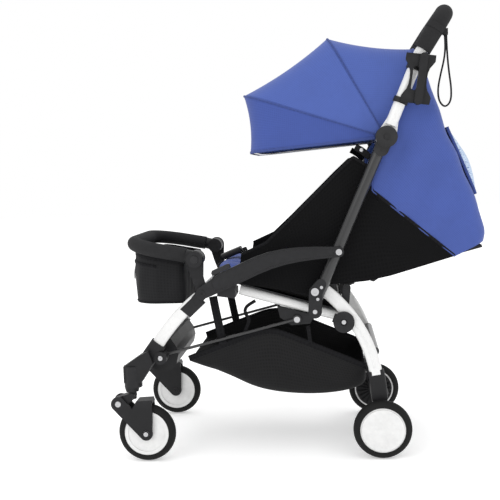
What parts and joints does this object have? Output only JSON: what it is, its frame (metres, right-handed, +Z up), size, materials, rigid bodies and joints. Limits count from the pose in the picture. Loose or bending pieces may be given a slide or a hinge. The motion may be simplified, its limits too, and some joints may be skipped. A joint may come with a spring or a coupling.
{
  "type": "baby stroller",
  "caption": "Compact folding baby stroller with canopy, reclining seat, padded front bar with pouch, basket, swivel casters and folding push handle.",
  "frame": {"origin": "on the floor, midway along the whole length, in the middle plane between left and right wheels", "axes": "+Z up, +X from the front wheels towards the push handle, +Y towards the right side of the person pushing"},
  "size_m": [0.875, 0.4446, 1.025],
  "materials": {
    "frame_black": "satin",
    "leg_white": "gloss",
    "handle_white": "gloss",
    "steel": "brushed",
    "moulded_black": "fine texture",
    "moulded_grey": "fine texture",
    "white_plastic": "gloss",
    "tyre": "matte",
    "foam": "soft matte foam",
    "fabric_black": "woven",
    "fabric_blue": "woven",
    "fabric_grey": "knitted mesh",
    "webbing": "webbing"
  },
  "bodies": {
    "seat_frame": {"seat_frame_tubes": "leg_white", "seat_pins": "steel", "seat_castings": "moulded_black", "seat_board": "moulded_black", "seat_cushion": "fabric_black", "seat_harness": "webbing", "basket": "fabric_black"},
    "link_rods": {"link_rods": "frame_black"},
    "uprights": {"upright_tubes": "frame_black", "upright_brackets": "moulded_black", "upright_bolts": "steel", "hinge_bases": "moulded_grey", "canopy_bow_rear": "steel", "side_panels": "fabric_black", "rear_drape": "fabric_blue"},
    "hinge_button_left": {"hinge_button_left": "moulded_black"},
    "hinge_button_right": {"hinge_button_right": "moulded_black"},
    "handle": {"push_handle": "handle_white", "foam_grip": "foam", "accessory_clip": "moulded_black", "wrist_strap": "webbing"},
    "canopy_mid": {"canopy_bow_mid": "steel", "canopy_rear_panel": "fabric_blue"},
    "canopy_front": {"canopy_bow_front": "steel", "canopy_top_panel": "fabric_blue"},
    "canopy_brim": {"canopy_bow_brim": "steel", "canopy_brim_panel": "fabric_blue"},
    "backrest": {"backrest_board": "moulded_black", "back_cushion": "fabric_black", "shoulder_straps": "webbing", "recline_buckle": "moulded_grey"},
    "armrests": {"armrests": "moulded_black", "front_brackets": "moulded_black"},
    "latch_slider_left": {"latch_slider_left": "moulded_grey"},
    "latch_slider_right": {"latch_slider_right": "moulded_grey"},
    "bar_button_left": {"bar_button_left": "moulded_grey"},
    "bar_button_right": {"bar_button_right": "moulded_grey"},
    "front_bar": {"front_bar": "frame_black", "bar_foam": "foam", "bar_ends": "moulded_black", "foot_pouch": "fabric_black"},
    "front_legs": {"front_legs": "leg_white", "leg_castings": "moulded_black"},
    "rear_legs": {"rear_legs": "leg_white", "rear_sleeves": "moulded_black", "rear_cross_tube": "frame_black", "axle_beam": "moulded_black"},
    "brake_pedal": {"brake_pedal": "moulded_grey"},
    "stem_left": {"caster_stem_left": "moulded_black"},
    "fork_left": {"caster_fork_left": "moulded_black"},
    "front_wheel_left": {"front_tyre_left": "tyre", "front_rim_left": "white_plastic"},
    "rear_wheel_left": {"rear_tyre_left": "tyre", "rear_rim_left": "white_plastic"},
    "stem_right": {"caster_stem_right": "moulded_black"},
    "fork_right": {"caster_fork_right": "moulded_black"},
    "front_wheel_right": {"front_tyre_right": "tyre", "front_rim_right": "white_plastic"},
    "rear_wheel_right": {"rear_tyre_right": "tyre", "rear_rim_right": "white_plastic"}
  },
  "joints": [
    {"name": "frame_fold", "type": "hinge", "parent": "seat_frame", "child": "uprights", "pos_m": [0.0425, 0, 0.345], "axis": [0, 1, 0], "range_deg": [-50, 0], "deforming": ["basket", "side_panels"]},
    {"name": "armrest_fold", "type": "hinge", "parent": "uprights", "child": "armrests", "pos_m": [0.0995, 0, 0.482], "axis": [0, 1, 0], "range_deg": [0, 50]},
    {"name": "front_leg_fold", "type": "hinge", "parent": "armrests", "child": "front_legs", "pos_m": [-0.2135, 0, 0.395], "axis": [0, 1, 0], "range_deg": [-38.9, 0]},
    {"name": "rear_leg_fold", "type": "hinge", "parent": "seat_frame", "child": "rear_legs", "pos_m": [0.1075, 0, 0.316], "axis": [0, 1, 0], "range_deg": [0, 22.9]},
    {"name": "link_rod_swing", "type": "hinge", "parent": "seat_frame", "child": "link_rods", "pos_m": [-0.0005, 0, 0.322], "axis": [0, 1, 0], "range_deg": [-7.6, 0]},
    {"name": "handle_fold", "type": "hinge", "parent": "uprights", "child": "handle", "pos_m": [0.2115, 0, 0.735], "axis": [0, 1, 0], "range_deg": [0, 92]},
    {"name": "canopy_fold", "type": "hinge", "parent": "uprights", "child": "canopy_mid", "pos_m": [0.2115, 0, 0.735], "axis": [0, -1, 0], "range_deg": [-42, 0], "deforming": ["canopy_rear_panel", "canopy_top_panel", "canopy_brim_panel"]},
    {"name": "canopy_front_fold", "type": "hinge", "parent": "canopy_mid", "child": "canopy_front", "pos_m": [0.2115, 0, 0.735], "axis": [0, -1, 0], "range_deg": [-38.02, 0]},
    {"name": "canopy_brim_fold", "type": "hinge", "parent": "canopy_front", "child": "canopy_brim", "pos_m": [0.2115, 0, 0.735], "axis": [0, -1, 0], "range_deg": [-17.02, 0]},
    {"name": "recline", "type": "hinge", "parent": "seat_frame", "child": "backrest", "pos_m": [0.1165, 0, 0.392], "axis": [0, -1, 0], "range_deg": [0, 38], "deforming": ["rear_drape"]},
    {"name": "bar_tilt", "type": "hinge", "parent": "armrests", "child": "front_bar", "pos_m": [-0.2295, 0, 0.472], "axis": [0, 1, 0], "range_deg": [0, 35]},
    {"name": "brake_press", "type": "hinge", "parent": "rear_legs", "child": "brake_pedal", "pos_m": [0.1845, 0, 0.0895], "axis": [0, 1, 0], "range_deg": [0, 12]},
    {"name": "latch_slide_left", "type": "slide", "parent": "armrests", "child": "latch_slider_left", "axis": [0.9187, 0, 0.395], "range_m": [0, 0.01], "stiffness_N_per_m": 400, "springref_m": -0.004},
    {"name": "hinge_button_press_left", "type": "slide", "parent": "uprights", "child": "hinge_button_left", "axis": [0, 1, 0], "range_m": [0, 0.003], "stiffness_N_per_m": 800, "springref_m": -0.003},
    {"name": "bar_button_press_left", "type": "slide", "parent": "armrests", "child": "bar_button_left", "axis": [0, 1, 0], "range_m": [0, 0.002], "stiffness_N_per_m": 800, "springref_m": -0.003},
    {"name": "caster_swivel_left", "type": "hinge", "parent": "front_legs", "child": "stem_left", "pos_m": [-0.3895, -0.2, 0.17], "axis": [0, 0, 1], "continuous": true},
    {"name": "caster_spring_left", "type": "hinge", "parent": "stem_left", "child": "fork_left", "pos_m": [-0.4205, -0.2, 0.139], "axis": [0, -1, 0], "range_deg": [0, 2.5], "stiffness_Nm_per_rad": 90, "springref_deg": -1.72},
    {"name": "front_wheel_spin_left", "type": "hinge", "parent": "fork_left", "child": "front_wheel_left", "pos_m": [-0.3575, -0.2, 0.0675], "axis": [0, 1, 0], "continuous": true},
    {"name": "rear_wheel_spin_left", "type": "hinge", "parent": "rear_legs", "child": "rear_wheel_left", "pos_m": [0.1905, -0.192, 0.0675], "axis": [0, 1, 0], "continuous": true},
    {"name": "latch_slide_right", "type": "slide", "parent": "armrests", "child": "latch_slider_right", "axis": [0.9187, 0, 0.395], "range_m": [0, 0.01], "stiffness_N_per_m": 400, "springref_m": -0.004},
    {"name": "hinge_button_press_right", "type": "slide", "parent": "uprights", "child": "hinge_button_right", "axis": [0, -1, 0], "range_m": [0, 0.003], "stiffness_N_per_m": 800, "springref_m": -0.003},
    {"name": "bar_button_press_right", "type": "slide", "parent": "armrests", "child": "bar_button_right", "axis": [0, -1, 0], "range_m": [0, 0.002], "stiffness_N_per_m": 800, "springref_m": -0.003},
    {"name": "caster_swivel_right", "type": "hinge", "parent": "front_legs", "child": "stem_right", "pos_m": [-0.3895, 0.2, 0.17], "axis": [0, 0, 1], "continuous": true},
    {"name": "caster_spring_right", "type": "hinge", "parent": "stem_right", "child": "fork_right", "pos_m": [-0.4205, 0.2, 0.139], "axis": [0, -1, 0], "range_deg": [0, 2.5], "stiffness_Nm_per_rad": 90, "springref_deg": -1.72},
    {"name": "front_wheel_spin_right", "type": "hinge", "parent": "fork_right", "child": "front_wheel_right", "pos_m": [-0.3575, 0.2, 0.0675], "axis": [0, 1, 0], "continuous": true},
    {"name": "rear_wheel_spin_right", "type": "hinge", "parent": "rear_legs", "child": "rear_wheel_right", "pos_m": [0.1905, 0.192, 0.0675], "axis": [0, 1, 0], "continuous": true}
  ],
  "couplings": [
    {"joint": "armrest_fold", "follows": "frame_fold", "ratio": -1},
    {"joint": "front_leg_fold", "follows": "frame_fold", "ratio": 0.778},
    {"joint": "rear_leg_fold", "follows": "frame_fold", "ratio": -0.458},
    {"joint": "link_rod_swing", "follows": "frame_fold", "ratio": 0.152},
    {"joint": "canopy_front_fold", "follows": "canopy_fold", "ratio": 0.905},
    {"joint": "canopy_brim_fold", "follows": "canopy_fold", "ratio": 0.405}
  ]
}
